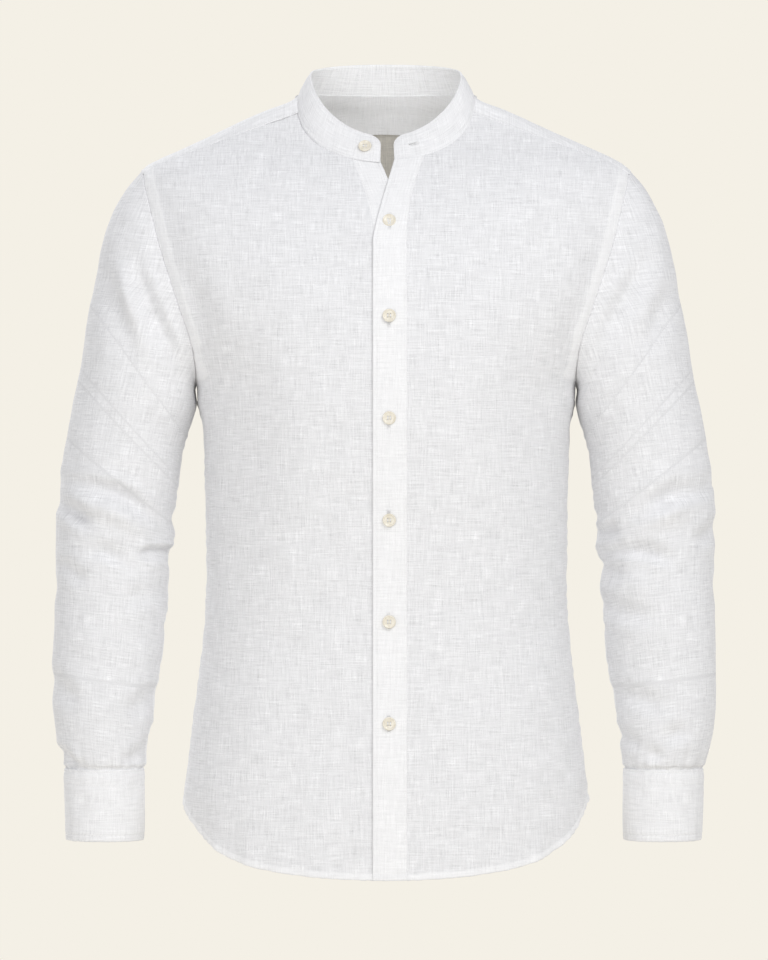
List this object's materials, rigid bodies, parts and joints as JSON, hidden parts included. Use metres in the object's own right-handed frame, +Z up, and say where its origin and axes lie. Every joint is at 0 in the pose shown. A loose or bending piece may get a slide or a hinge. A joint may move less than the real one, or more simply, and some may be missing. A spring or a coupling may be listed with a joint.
{
  "type": "band collar (mandarin collar) long-sleeved linen shirt, filled out with no wearer",
  "caption": "White linen shirt with a band collar, a buttoned front and long cuffed sleeves, filled out as if worn but empty.",
  "frame": {"origin": "middle of the neck opening, level with the high point of the shoulder, where the wearer's neck and shoulders hold the shirt", "axes": "+Z up towards the collar, -Y the front of the shirt, +X the wearer's left"},
  "size_m": [0.6288, 0.2593, 0.7812],
  "materials": {
    "linen": "matt plain-weave slub linen",
    "ivory_buttons": "polished ivory-coloured four-hole buttons"
  },
  "bodies": {
    "root": {"front_left": "linen", "front_right": "linen", "placket_left": "linen", "placket_right": "linen", "back": "linen", "yoke": "linen", "yoke_inner": "linen", "collar_band": "linen", "sleeve_left": "linen", "sleeve_right": "linen", "sleeve_placket_left": "linen", "sleeve_placket_right": "linen", "cuff_left": "linen", "cuff_right": "linen", "button_collar": "ivory_buttons", "button_front_1": "ivory_buttons", "button_front_2": "ivory_buttons", "button_front_3": "ivory_buttons", "button_front_4": "ivory_buttons", "button_front_5": "ivory_buttons", "button_front_6": "ivory_buttons", "cuff_button_left": "ivory_buttons", "cuff_button_right": "ivory_buttons"}
  },
  "joints": []
}
